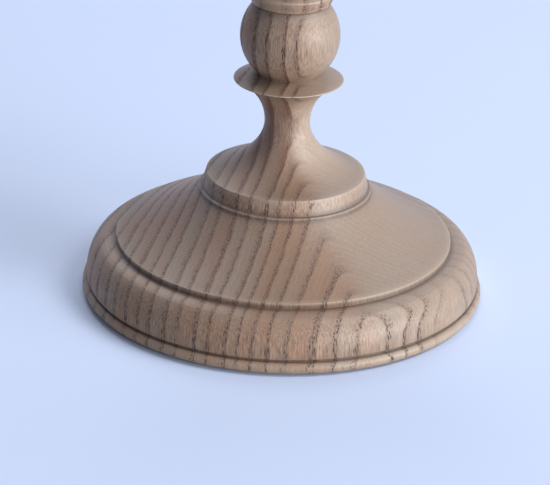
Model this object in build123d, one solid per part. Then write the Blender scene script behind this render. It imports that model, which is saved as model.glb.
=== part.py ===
from build123d import *
from math import acos, asin, degrees, sqrt
import os

# Pricket candle stand turned in ash: foot, upper stem and pan, with a loose brass liner and a steel spike.
# Lengths are millimetres. The stand turns about Z and rests on Z = 0.

# Fits
glue_gap = 0.08
tenon_end_gap = 0.8
thread_gap = 0.05
washer_hole_gap = 0.2
liner_side_gap = 0.4
liner_seat_gap = 0.1
liner_hole_gap = 0.5

# Cork pad under the foot
pad_thickness = 3.0
pad_proud = 0.5
foot_ring_width = 8.0

# Foot: rim bead, groove, ovolo, sloping ledge, fillet and hollow slope
foot_radius = 50.0
bead_height = 2.9
bead_depth = 1.5
rim_groove_height = 0.65
ovolo_setback = 1.0
ovolo_belly_rise = 1.6
ovolo_height = 10.4
ovolo_width = 6.0
ovolo_arris_width = 1.9
ledge_width = 3.2
fillet_height = 1.4
slope_height = 11.9
slope_shares = ((0.36, 0.22), (0.73, 0.58))

# Pedestal: thin lip, groove, leaning side and hollow top
pedestal_radius = 21.3
pedestal_lip_height = 0.75
pedestal_groove_depth = 0.7
pedestal_groove_rise = 0.2
pedestal_side_height = 3.75
pedestal_side_lean = 1.0
pedestal_top_height = 13.2
pedestal_top_shares = ((0.47, 0.13), (1.0, 0.53))

# Neck and flange
neck_radius = 5.55
neck_flare_height = 10.9
neck_flare_shares = ((0.0, 0.46), (0.4, 0.86))
flange_radius = 13.4
flange_edge = 0.25
flange_top_rise = 1.75

# Knop, a ball cut flat where it meets the flange and the collar
knop_radius = 12.15
knop_seat_radius = 7.8
knop_top_radius = 8.8

# Upper stem: tenon, collar, hollow, vase, ring and cup
tenon_radius = 4.4
tenon_length = 11.0
tenon_chamfer = 0.6
collar_base_radius = 9.5
collar_radius = 10.7
collar_height = 2.6
collar_edge = 0.3
hollow_radius = 5.0
hollow_height = 13.4
hollow_shares = ((0.47, 0.13), (1.0, 0.53))
vase_radius = 8.6
vase_low_height = 24.0
vase_low_shares = ((0.0, 0.42), (1.0, 0.5))
vase_top_radius = 5.2
vase_top_height = 14.0
vase_top_shares = ((0.0, 0.4), (1.0, 0.62))
ring_height = 3.0
ring_depth = 1.5
cup_radius = 13.0
cup_height = 9.0
cup_shares = ((0.0, 0.46), (0.4, 0.86))
cup_edge = 0.6
pan_tenon_radius = 7.0
pan_tenon_shy = 0.3

# Pan
boss_radius = 15.0
boss_height = 0.8
pan_floor = 7.7
pan_recess_depth = 3.9
pan_rim_width = 3.0
pan_bead_height = 3.0
pan_bead_depth = 1.5
pan_under_shares = ((0.6, 0.03), (1.0, 0.4))

# Spun brass liner, loose in the pan
liner_sheet = 0.8
liner_radius = 36.0
liner_depth = 6.5
liner_lip_width = 2.4
liner_collar_height = 2.4
liner_bend_radius = 1.6
liner_hole_bend_radius = 0.9

# Spike, its washer and its threaded insert
washer_radius = 8.0
washer_thickness = 1.0
insert_radius = 4.5
insert_length = 12.0
shank_radius = 3.0
shank_end_gap = 0.8
shoulder_radius = 6.0
shoulder_height = 1.4
shoulder_cove = 1.2
spike_radius = 3.0
spike_parallel_length = 10.0
spike_taper_length = 28.0
spike_tip_radius = 0.4

# Radii that follow
groove_radius = foot_radius - bead_depth
belly_radius = foot_radius - ovolo_setback
ovolo_top_radius = belly_radius - ovolo_width
ovolo_arris_radius = ovolo_top_radius + ovolo_arris_width
fillet_radius = ovolo_arris_radius - ledge_width
pad_radius = groove_radius - foot_ring_width
recess_radius = pad_radius + glue_gap
socket_radius = tenon_radius + glue_gap
pan_hole_radius = pan_tenon_radius + glue_gap
pan_recess_radius = liner_radius + liner_side_gap
pan_groove_radius = pan_recess_radius + pan_rim_width
insert_hole_radius = insert_radius + glue_gap
insert_bore_radius = shank_radius + thread_gap
washer_hole_radius = shank_radius + washer_hole_gap
liner_hole_radius = washer_radius + liner_hole_gap

# Levels that follow, from the foot up
foot_base = pad_proud
recess_top = pad_thickness
bead_top = foot_base + bead_height
rim_groove_top = bead_top + rim_groove_height
belly_level = bead_top + ovolo_belly_rise
ovolo_top = bead_top + ovolo_height
slope_base = ovolo_top + fillet_height
slope_top = slope_base + slope_height
lip_top = slope_top + pedestal_lip_height
groove_level = lip_top + pedestal_groove_rise
pedestal_top = groove_level + pedestal_side_height
neck_level = pedestal_top + pedestal_top_height
flange_level = neck_level + neck_flare_height
flange_top = flange_level + flange_edge
knop_seat = flange_top + flange_top_rise
knop_centre = knop_seat + sqrt(knop_radius**2 - knop_seat_radius**2)
knop_top = knop_centre + sqrt(knop_radius**2 - knop_top_radius**2)
collar_level = knop_top + collar_height
collar_top = collar_level + collar_edge
hollow_level = collar_top + hollow_height
vase_level = hollow_level + vase_low_height
ring_base = vase_level + vase_top_height
ring_top = ring_base + ring_height
cup_level = ring_top + cup_height
cup_top = cup_level + cup_edge
recess_floor = cup_top + pan_floor
pan_tenon_top = recess_floor - pan_tenon_shy
insert_base = pan_tenon_top - insert_length
pan_top = recess_floor + pan_recess_depth
liner_base = recess_floor + liner_seat_gap
washer_top = recess_floor + washer_thickness
shoulder_top = washer_top + shoulder_height
spike_base = shoulder_top + shoulder_cove
taper_base = spike_base + spike_parallel_length
spike_tip = taper_base + spike_taper_length


def sweep(start, end, shares):
    """Curve between two outline points, its two handles placed by shares of the run and the rise."""
    run = end[0] - start[0]
    rise = end[1] - start[1]
    handles = [(start[0] + run * across, start[1] + rise * up) for across, up in shares]
    return Bezier(start, *handles, end)


def half_round(radius, depth, base, top):
    """Bead that stands out by its depth between two levels."""
    return ThreePointArc((radius, base), (radius + depth, (base + top) / 2), (radius, top))


def turned(*lines):
    """Solid turned about Z from a closed outline of radius and level."""
    edges = [edge for line in lines for edge in line.edges()]
    return revolve(Plane.XZ * make_face(edges), axis=Axis.Z)


def turned_foot():
    """Foot, pedestal, neck, flange and knop in one blank, with the pad's recess and the stem's socket."""
    ovolo_rise = ovolo_top - belly_level
    dip = degrees(asin((belly_level - rim_groove_top) / ovolo_rise))
    ovolo_centre = (ovolo_top_radius, belly_level)
    ovolo_end = degrees(acos(ovolo_arris_width / ovolo_width))
    ovolo = EllipticalCenterArc(ovolo_centre, ovolo_width, ovolo_rise, -dip, arc_size=ovolo_end + dip)
    knop_side = (knop_radius, knop_centre)
    side_radius = pedestal_radius - pedestal_groove_depth
    arris = (side_radius - pedestal_side_lean, pedestal_top)
    socket_floor = knop_top - tenon_length - tenon_end_gap
    return turned(
        half_round(groove_radius, bead_depth, foot_base, bead_top),
        Polyline((groove_radius, bead_top), (groove_radius, rim_groove_top), ovolo @ 0),
        ovolo,
        Polyline(ovolo @ 1, (fillet_radius, ovolo_top), (fillet_radius, slope_base)),
        sweep((fillet_radius, slope_base), (pedestal_radius, slope_top), slope_shares),
        Polyline((pedestal_radius, slope_top), (pedestal_radius, lip_top), (side_radius, groove_level), arris),
        sweep(arris, (neck_radius, neck_level), pedestal_top_shares),
        sweep((neck_radius, neck_level), (flange_radius, flange_level), neck_flare_shares),
        Polyline((flange_radius, flange_level), (flange_radius, flange_top), (knop_seat_radius, knop_seat)),
        ThreePointArc((knop_seat_radius, knop_seat), knop_side, (knop_top_radius, knop_top)),
        Polyline(
            (knop_top_radius, knop_top),
            (socket_radius, knop_top),
            (socket_radius, socket_floor),
            (0, socket_floor),
            (0, recess_top),
            (recess_radius, recess_top),
            (recess_radius, foot_base),
            (groove_radius, foot_base),
        ),
    )


def upper_stem():
    """Collar, vase and cup with a tenon at each end, bored at the top for the spike's insert."""
    tenon_base = knop_top - tenon_length
    bore_floor = insert_base - tenon_end_gap
    return turned(
        Polyline(
            (0, tenon_base),
            (tenon_radius - tenon_chamfer, tenon_base),
            (tenon_radius, tenon_base + tenon_chamfer),
            (tenon_radius, knop_top),
            (collar_base_radius, knop_top),
            (collar_radius, collar_level),
            (collar_radius, collar_top),
        ),
        sweep((collar_radius, collar_top), (hollow_radius, hollow_level), hollow_shares),
        sweep((hollow_radius, hollow_level), (vase_radius, vase_level), vase_low_shares),
        sweep((vase_radius, vase_level), (vase_top_radius, ring_base), vase_top_shares),
        half_round(vase_top_radius, ring_depth, ring_base, ring_top),
        sweep((vase_top_radius, ring_top), (cup_radius, cup_level), cup_shares),
        Polyline(
            (cup_radius, cup_level),
            (cup_radius, cup_top),
            (pan_tenon_radius, cup_top),
            (pan_tenon_radius, pan_tenon_top),
            (insert_hole_radius, pan_tenon_top),
            (insert_hole_radius, bore_floor),
            (0, bore_floor),
            (0, tenon_base),
        ),
    )


def wax_pan():
    """Dished pan on the stem's cup, with a recess for the liner and a bead round the rim."""
    boss_top = cup_top + boss_height
    bead_base = pan_top - pan_bead_height
    return turned(
        Polyline((pan_hole_radius, cup_top), (boss_radius, cup_top), (boss_radius, boss_top)),
        sweep((boss_radius, boss_top), (pan_groove_radius, bead_base), pan_under_shares),
        half_round(pan_groove_radius, pan_bead_depth, bead_base, pan_top),
        Polyline(
            (pan_groove_radius, pan_top),
            (pan_recess_radius, pan_top),
            (pan_recess_radius, recess_floor),
            (pan_hole_radius, recess_floor),
            (pan_hole_radius, cup_top),
        ),
    )


def drip_liner():
    """Sheet dish with a turned-out lip to lift it by and a turned-up hole that passes over the spike."""
    half_sheet = liner_sheet / 2
    floor = liner_base + half_sheet
    lip_level = liner_base + liner_depth - half_sheet
    hole = liner_hole_radius + half_sheet
    wall = liner_radius - half_sheet
    middle = FilletPolyline(
        (hole, floor + liner_collar_height),
        (hole, floor),
        (wall, floor),
        (wall, lip_level),
        (wall + liner_lip_width, lip_level),
        radius=[liner_hole_bend_radius, liner_bend_radius, liner_bend_radius],
    )
    return revolve(Plane.XZ * trace(middle, line_width=liner_sheet), axis=Axis.Z)


def pricket():
    """Spike with a coved shoulder above its shank."""
    shank_base = insert_base + shank_end_gap
    cove_middle = (spike_radius + shoulder_cove * (1 - sqrt(1 / 2)), spike_base - shoulder_cove * sqrt(1 / 2))
    cove_edge = (spike_radius + shoulder_cove, shoulder_top)
    return turned(
        Polyline(
            (0, shank_base),
            (shank_radius, shank_base),
            (shank_radius, washer_top),
            (shoulder_radius, washer_top),
            (shoulder_radius, shoulder_top),
            cove_edge,
        ),
        ThreePointArc(cove_edge, cove_middle, (spike_radius, spike_base)),
        Polyline(
            (spike_radius, spike_base),
            (spike_radius, taper_base),
            (spike_tip_radius, spike_tip),
            (0, spike_tip),
            (0, shank_base),
        ),
    )


def ring(inner, outer, base, top):
    """Plain ring about Z."""
    return turned(Polyline((inner, base), (outer, base), (outer, top), (inner, top), close=True))


def base_pad():
    """Cork disc in the foot's recess."""
    return turned(Polyline((0, 0), (pad_radius, 0), (pad_radius, pad_thickness), (0, pad_thickness), close=True))


nodes = {
    "turned_foot": turned_foot(),
    "upper_stem": upper_stem(),
    "wax_pan": wax_pan(),
    "drip_liner": drip_liner(),
    "pricket": pricket(),
    "pricket_washer": ring(washer_hole_radius, washer_radius, recess_floor, washer_top),
    "pricket_insert": ring(insert_bore_radius, insert_radius, insert_base, pan_tenon_top),
    "base_pad": base_pad(),
}

os.makedirs("parts", exist_ok=True)
for name, solid in nodes.items():
    export_step(solid, f"parts/{name}.step")
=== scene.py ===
import math

import bpy
import numpy as np
from mathutils import Matrix, Vector


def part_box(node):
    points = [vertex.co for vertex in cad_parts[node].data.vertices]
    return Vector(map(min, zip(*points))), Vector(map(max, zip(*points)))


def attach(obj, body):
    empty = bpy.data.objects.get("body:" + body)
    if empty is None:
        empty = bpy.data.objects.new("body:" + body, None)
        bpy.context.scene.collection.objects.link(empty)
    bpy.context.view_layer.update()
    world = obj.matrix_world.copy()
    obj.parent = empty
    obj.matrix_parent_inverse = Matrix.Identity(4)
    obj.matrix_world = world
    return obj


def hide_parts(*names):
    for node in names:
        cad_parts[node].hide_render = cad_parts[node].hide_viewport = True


bl_info = {
    "name": "Pricket candle stand",
    "version": (1, 0, 0),
    "blender": (4, 5, 0),
    "location": "View3D > Sidebar > Stand",
    "description": "Finished pieces, materials and a stage for a turned ash candle stand",
    "category": "Object",
}

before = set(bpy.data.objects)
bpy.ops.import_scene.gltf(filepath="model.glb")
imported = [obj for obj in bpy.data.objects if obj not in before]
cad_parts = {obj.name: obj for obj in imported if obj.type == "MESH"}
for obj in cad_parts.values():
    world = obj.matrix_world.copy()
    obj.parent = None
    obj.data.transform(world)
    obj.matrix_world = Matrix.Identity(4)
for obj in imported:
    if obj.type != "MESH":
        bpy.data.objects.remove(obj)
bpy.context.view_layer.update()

MM = 0.001  # metres in a millimetre: outlines below are in millimetres, Blender's objects in metres

# Outline sizes in millimetres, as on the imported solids: radii, then levels above the table.
PAD_RADIUS, PAD_THICKNESS = 40.5, 3.0
FOOT_BASE, RECESS_RADIUS, RECESS_TOP = 0.5, 40.58, 3.0
GROOVE_RADIUS, BEAD_DEPTH, BEAD_TOP, RIM_GROOVE_TOP = 48.5, 1.5, 3.4, 4.05
OVOLO_CENTRE, OVOLO_WIDTH, OVOLO_RISE = (43.0, 5.0), 6.0, 8.8
OVOLO_ARRIS, FILLET_RADIUS, OVOLO_TOP, SLOPE_BASE = 1.9, 41.7, 13.8, 15.2
OVOLO_EASED = (6.0, 0.5)  # how far its arris is eased: degrees of the ovolo, then millimetres of the ledge
SLOPE_SHARES = ((0.36, 0.22), (0.73, 0.58))
PEDESTAL_RADIUS, SLOPE_TOP, LIP_TOP = 21.3, 27.1, 27.85
PEDESTAL_SIDE, PEDESTAL_GROOVE, PEDESTAL_ARRIS = 20.6, 28.05, (19.6, 31.8)
HOLLOW_SHARES = ((0.47, 0.13), (1.0, 0.53))
NECK_RADIUS, NECK_LEVEL = 5.55, 45.0
FLARE_SHARES = ((0.0, 0.46), (0.4, 0.86))
FLANGE_RADIUS, FLANGE_LEVEL, FLANGE_TOP = 13.4, 55.9, 56.15
KNOP_RADIUS, KNOP_SEAT_RADIUS, KNOP_SEAT, KNOP_TOP_RADIUS = 12.15, 7.8, 57.9, 8.8
KNOP_CENTRE = KNOP_SEAT + math.sqrt(KNOP_RADIUS**2 - KNOP_SEAT_RADIUS**2)
KNOP_TOP = KNOP_CENTRE + math.sqrt(KNOP_RADIUS**2 - KNOP_TOP_RADIUS**2)
SOCKET_RADIUS, SOCKET_DEPTH = 4.48, 11.8
TENON_RADIUS, TENON_LENGTH, TENON_CHAMFER = 4.4, 11.0, 0.6
COLLAR_BASE_RADIUS, COLLAR_RADIUS, COLLAR_HEIGHT, COLLAR_EDGE = 9.5, 10.7, 2.6, 0.3
COLLAR_TOP = KNOP_TOP + COLLAR_HEIGHT + COLLAR_EDGE
HOLLOW_RADIUS, HOLLOW_LEVEL = 5.0, COLLAR_TOP + 13.4
VASE_RADIUS, VASE_LEVEL, VASE_LOW_SHARES = 8.6, HOLLOW_LEVEL + 24.0, ((0.0, 0.42), (1.0, 0.5))
VASE_TOP_RADIUS, RING_BASE, VASE_TOP_SHARES = 5.2, VASE_LEVEL + 14.0, ((0.0, 0.4), (1.0, 0.62))
RING_DEPTH, RING_TOP = 1.5, RING_BASE + 3.0
CUP_RADIUS, CUP_LEVEL, CUP_EDGE = 13.0, RING_TOP + 9.0, 0.6
CUP_TOP = CUP_LEVEL + CUP_EDGE
RECESS_FLOOR = CUP_TOP + 7.7
PAN_TENON_RADIUS, PAN_TENON_TOP = 7.0, RECESS_FLOOR - 0.3
INSERT_HOLE_RADIUS, INSERT_BASE = 4.58, PAN_TENON_TOP - 12.0
BORE_FLOOR = INSERT_BASE - 0.8
PAN_HOLE_RADIUS, BOSS_RADIUS, BOSS_TOP = 7.08, 15.0, CUP_TOP + 0.8
PAN_RECESS_RADIUS, PAN_GROOVE_RADIUS, PAN_TOP = 36.4, 39.4, RECESS_FLOOR + 3.9
PAN_BEAD_DEPTH, PAN_BEAD_BASE, PAN_UNDER_SHARES = 1.5, PAN_TOP - 3.0, ((0.6, 0.03), (1.0, 0.4))
LINER_SHEET, LINER_BASE, LINER_DEPTH, LINER_RADIUS = 0.8, RECESS_FLOOR + 0.1, 6.5, 36.0
LINER_LIP, LINER_HOLE_RADIUS, LINER_COLLAR = 2.4, 8.5, 2.4
LINER_BEND, LINER_HOLE_BEND = 1.6, 0.9
WASHER_HOLE_RADIUS, WASHER_RADIUS, WASHER_TOP = 3.2, 8.0, RECESS_FLOOR + 1.0
SHANK_RADIUS, SHANK_BASE = 3.0, INSERT_BASE + 0.8
SHOULDER_RADIUS, SHOULDER_TOP, SHOULDER_COVE = 6.0, WASHER_TOP + 1.4, 1.2
SPIKE_RADIUS, SPIKE_BASE = 3.0, SHOULDER_TOP + SHOULDER_COVE
TAPER_BASE, SPIKE_TIP, SPIKE_TIP_RADIUS = SPIKE_BASE + 10.0, SPIKE_BASE + 38.0, 0.4

# Outline working: how finely a line is followed, and how far a piece may leave its solid's box.
OUTLINE_STEP = 0.04
SAME_POINT = OUTLINE_STEP / 100
LONGEST_STEP = 1.2
MEAN_TAIL = 4  # a mean along the outline looks this many times its reach to each side
BOX_SLACK = 0.25 * MM
MERGE_DISTANCE = 0.001 * MM

# How far along the outline, in millimetres, an arris or a whole bead is compared with its surroundings, and how far
# and how deep a corner is before painted shade, partly soil, lies in it.
REACHES = {"arris": 0.35, "swell": 1.2}
SHADE_SOIL_REACH, SHADE_SOIL_CORNER, SHADE_SOIL_LENGTH = 0.3, 0.1, 0.25
JOINT_REACH, JOINT_SHADE = 0.7, 3.5  # painted shade along an open joint, under the collar's overhang: how far it reaches, and its depth against 1 in a corner

# The foot's blank, seen from above in millimetres: its rings are bent round a pith just outside the rim
# at the front right, so they run nearly straight on the left and straight to the side on the right.
# Low in the foot the right-hand rings curl round the pith, less so higher up and no deeper than PITH_RINGS.
LEFT_RINGS_ACROSS = (-0.95, 0.31, 0.0)
RIGHT_RINGS_ACROSS = (0.025, 0.827, 0.0)
PITH_TO_AXIS = (36.0, 37.7)
RING_CORNER = 3.0
PITH, PITH_RINGS = (22.8, -46.3, 0.0), 22.0
CURL_LEVELS, CURL_LOSS = (7.0, 15.0), (1.0, 9.0)
RING_WIDTHS = (5.0, 4.2, 4.4, 6.0, 4.2, 3.6, 3.6, 2.8, 4.4, 3.3, 4.7, 3.5, 4.5, 3.6, 3.8, 4.1, 3.3, 4.0, 3.8, 4.2,
               4.0)

# Ash. Lengths are in millimetres, scales are per millimetre, and a pair is from and to.
WHOLE, MOST_NOISE = (0.0, 1.0), (0.3, 0.7)  # a share's range, and where most of a noise's values lie
NOISE_MIDDLE = (0.5, 0.5, 0.5)
LONG_GRAIN = (1, 1, 0.25)  # slow changes are four times as long along the grain as across it
WANDER_SIZE, WAVER_SIZE, PATCH_SIZE, BLOTCH_SIZE = 30.0, 2.5, 6.0, 14.0
BAND_CORNER, HEART_CORNER, NECK_CORNER = (-3.0, 2.0), (-6.0, 4.0), (-0.5, 2.5)  # widths across the rings' corner
OVOLO_LEVELS, OVOLO_RINGS, OVOLO_BANDS = (12.0, 15.0), (8.0, 20.0), (1.1, 0.6)  # bands right of the corner, low down
REAR_RINGS, REAR_BANDS = (42.0, 58.0), 0.7  # bands that come back behind the axis, higher up
BAND_CHANCE, BAND_DRAWN, BAND_STRENGTH = 0.6, (0.45, 1.0), (0.88, 1.15)
PORE_FADE = ((0.13, 0.95), (0.24, 0.7), (0.34, 0.22), (0.5, 0.04), (0.9, 0.0))  # shares of a ring, then strength
STAIN_FADE = ((0.1, 0.95), (0.2, 0.65), (0.36, 0.42), (0.6, 0.18), (0.85, 0.03))
PORE_LENGTH, PORE_REACH, PORE_LEAST, PORE_CORE = 5, 0.52, 0.05, 0.5  # in pore spacings; the core is fully dark
PORE_DARK = (0.85, 0.6)  # along the grain, then across it
HATCH, HATCH_SHADE, HATCH_HEIGHT = (2.8, 2.8, 0.28), (-0.38, 0.42), 0.3
FIBRE, FIBRE_SHADE, FIBRE_GLOSS = (1.6, 1.6, 0.03), (-0.1, 0.08), 0.1
CROSS_CUT, CROSS_HATCH = (0.0, 0.8), (1.0, 0.12)  # hatching fades on a cut across the grain
LINE_SPACING, LINE_CREST, LINE_SHADE, RIPPLE, RIPPLE_TURN = 1.2, (0.2, 1.0), (0.0, 0.08), 0.35, 5.0
WARM_CHANCE, WARM_DRAWN = 0.2, (0.35, 0.75)
HEART_WARMTH, HEART_HATCH = (0.25, 1.0), (0.55, 1.2)  # right of the corner, then left of it
NECK_START, NECK_END = (32.0, 38.0), (50.0, 56.0)  # levels
NECK_TINT, NECK_WARMTH, NECK_PALER, NECK_PORES = 0.4, 0.4, 0.4, 0.3
RAISED_TINT, KNOP_SHADE_SOIL = 0.3, 1 / 3  # more stain from the neck up, and less painted corner shade and soil above it
# Arrises get a painted highlight, partly wear: arris heights, then shares of the pale edge colour.
ARRIS_HEIGHT, ARRIS_HIGHLIGHT_AND_WEAR = (0.03, 0.15), (0.0, 0.2)
PORE_GLOSS, PORE_DEPTH, PORE_BUMP = 0.25, 0.1, 0.5
ASH_IOR, ASH_SPECULAR = 1.5, 0.5

# Metal and cork, in the same units.
FILM_SIZE, FILM_DRAWN, FILM_DEPTH, FILM_GLOSS = 14.0, (0.42, 0.75), (0.0, 0.75), 0.12
TOOL_GLOSS, TOOL_BUMP = 0.18, 0.4
GRANULE, SEAM, SEAM_DARK, SEAM_DEPTH, SEAM_BUMP = 2.2, (0.0, 0.08), (0.6, 0.0), 0.3, 0.6
SPECK, SPECK_DRAWN, SPECK_DARK = 1.2, (0.6, 0.68), (0.0, 0.7)
CORK_ROUGHNESS = 0.85

# Stage: the floor in metres and its finish, then the lamps: metres wide and tall, degrees round and up, and tint.
FLOOR_HALF, FLOOR_DROP = 3.0, 0.02 * MM
FLOOR_CLOUD, FLOOR_SHADE = 6.0 * MM, (0.98, 1.02)  # faint clouds, six to the metre
FLOOR_ROUGHNESS, FLOOR_SPECULAR = 0.9, 0.2
LIFT_EDGE, FAR_FLOOR = (48.0, 58.0), (150.0, 500.0)  # millimetres from the axis, see pale_floor
LAMP_AWAY, LAMP_AIM = 1.2, (0, 0, 0.03)
DAYLIGHT, SKYLIGHT = (0.985, 1.0, 1.0), (0.97, 0.985, 1.0)
LAMPS = {
    "window": (1.15, 0.45, -36, 7, DAYLIGHT),
    "fill": (0.5, 0.5, -20, 47, DAYLIGHT),
    "back": (0.9, 0.9, 96, 58, SKYLIGHT),
}

# Camera fitted to the photographed rings of the foot, the pedestal, the flange and the knop: millimetres of sensor and
# lens, metres of place, and degrees that it is turned, tipped down and rolled.
EYE_SENSOR, EYE_LENS, EYE_CLIP = 36.0, 160.84, (0.01, 20.0)
EYE_PLACE, EYE_YAW, EYE_DOWN, EYE_ROLL = (0, -0.5610, 0.26412), 0.2048, 24.1899, 1.9034


def linear(hex_colour):
    """Linear red, green, blue and alpha of an sRGB hex colour."""
    shares = [int(hex_colour[i:i + 2], 16) / 255 for i in (1, 3, 5)]
    return tuple(s / 12.92 if s <= 0.04045 else ((s + 0.055) / 1.055) ** 2.4 for s in shares) + (1.0,)


def add(tree, kind, links=(), **settings):
    """Adds a node with its settings; links gives inputs, in order or by name, a value, a socket or a node each."""
    node = tree.nodes.new(kind)
    for name, value in settings.items():
        setattr(node, name, value)
    for key, value in links.items() if isinstance(links, dict) else enumerate(links):
        if isinstance(value, bpy.types.Node):
            value = next(out for out in value.outputs if out.enabled)
        if isinstance(value, bpy.types.NodeSocket):
            tree.links.new(value, node.inputs[key])
        else:
            node.inputs[key].default_value = value
    return node


# Outlines

def sweep(start, end, shares, steps=64):
    """Points on a curve between two outline points, its handles placed by shares of the run and the rise."""
    run, rise = end[0] - start[0], end[1] - start[1]
    handles = [(start[0] + run * across, start[1] + rise * up) for across, up in shares]
    knots = np.array([start, *handles, end])
    t = np.linspace(0, 1, steps)[:, None]
    weights = np.hstack([(1 - t) ** 3, 3 * t * (1 - t) ** 2, 3 * t**2 * (1 - t), t**3])
    return [tuple(point) for point in weights @ knots]


def arc(centre, across, up, first, last, steps=64):
    """Points on an ellipse about a centre between two angles in degrees."""
    turns = np.radians(np.linspace(first, last, steps))
    return [(centre[0] + across * math.cos(t), centre[1] + up * math.sin(t)) for t in turns]


def half_round(radius, depth, base, top):
    """Points on a bead that stands out by its depth between two levels."""
    half = (top - base) / 2
    return arc((radius, base + half), depth, half, -90, 90)


def bent_sheet(corners, bends, sheet):
    """Closed outline of a sheet that follows corners, each inner corner bent to its radius."""
    corners = [np.array(corner) for corner in corners]
    middle = [corners[0]]
    for before, at, after, radius in zip(corners, corners[1:], corners[2:], bends):
        back, on = (before - at) / np.linalg.norm(before - at), (after - at) / np.linalg.norm(after - at)
        centre = at + (back + on) * radius
        turns = np.linspace(0, math.pi / 2, 24)
        middle += [centre - on * radius * math.cos(t) - back * radius * math.sin(t) for t in turns]
    middle = np.array(middle + [corners[-1]])
    ahead = np.gradient(middle, axis=0)
    ahead /= np.linalg.norm(ahead, axis=1)[:, None]
    aside = np.stack([ahead[:, 1], -ahead[:, 0]], axis=1) * sheet / 2
    return [tuple(p) for p in np.vstack([middle + aside, (middle - aside)[::-1], (middle + aside)[:1]])]


def followed(points):
    """The outline as many evenly spaced points."""
    points = np.array(points)
    points = points[np.r_[True, np.linalg.norm(np.diff(points, axis=0), axis=1) > SAME_POINT]]
    length = np.r_[0, np.cumsum(np.linalg.norm(np.diff(points, axis=0), axis=1))]
    places = np.linspace(0, length[-1], int(length[-1] / OUTLINE_STEP))
    return np.stack([np.interp(places, length, points[:, i]) for i in (0, 1)], axis=1)


def rubbed(points, reach):
    """The outline after a mean along its length, which rounds arrises as abrasive paper does.

    An open outline ends on the axis and goes on mirrored there; a closed one goes on round itself.
    """
    count = int(MEAN_TAIL * reach / OUTLINE_STEP)
    if np.allclose(points[0], points[-1]):
        before, after = points[-count - 1:-1], points[1:count + 1]
    else:
        mirror = np.array([-1, 1])
        before, after = points[count:0:-1] * mirror, points[-2:-count - 2:-1] * mirror
    run = np.vstack([before, points, after])
    weights = np.exp(-0.5 * (np.arange(-count, count + 1) * OUTLINE_STEP / reach) ** 2)
    weights /= weights.sum()
    return np.stack([np.convolve(run[:, i], weights, mode="valid") for i in (0, 1)], axis=1)


def outline(points, sizes, joints):
    """Outline points worth keeping, in metres, and their wear.

    Wear is how far each point stands out of its surroundings, and the painted shade, partly soil, in corners and near
    open joints.
    """
    soft = rubbed(followed(points), sizes.arris / MM)
    ahead = np.gradient(soft, axis=0)
    ahead /= np.linalg.norm(ahead, axis=1)[:, None]
    outward = np.stack([ahead[:, 1], -ahead[:, 0]], axis=1)
    wear_and_painted_light = {name: ((soft - rubbed(soft, reach)) * outward).sum(axis=1) for name, reach in REACHES.items()}
    # Painted shade, partly soil, gathers in tight corners and near open joints.
    corner = np.clip(-wear_and_painted_light["arris"] / SHADE_SOIL_CORNER, 0, 1)
    tail = MEAN_TAIL * SHADE_SOIL_REACH
    spread = np.exp(-0.5 * (np.arange(-tail, tail, OUTLINE_STEP) / SHADE_SOIL_REACH) ** 2)
    wear_and_painted_light["soil"] = np.clip(np.convolve(corner, spread, mode="same") * OUTLINE_STEP / SHADE_SOIL_LENGTH, 0, 1)
    for joint in joints:
        away = np.linalg.norm(soft - np.array(joint), axis=1)
        wear_and_painted_light["soil"] += JOINT_SHADE * np.exp(-0.5 * (away / JOINT_REACH) ** 2)
    turned, kept = 0.0, [0]
    for i in range(1, len(soft) - 1):
        turned += math.acos(min(1.0, max(-1.0, float(ahead[i] @ ahead[i - 1]))))
        far = np.linalg.norm(soft[i] - soft[kept[-1]])
        if turned > sizes.outline_turn or far > LONGEST_STEP:
            kept.append(i)
            turned = 0.0
    kept.append(len(soft) - 1)
    return soft[kept] * MM, {name: values[kept] for name, values in wear_and_painted_light.items()}


# Pieces

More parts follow.
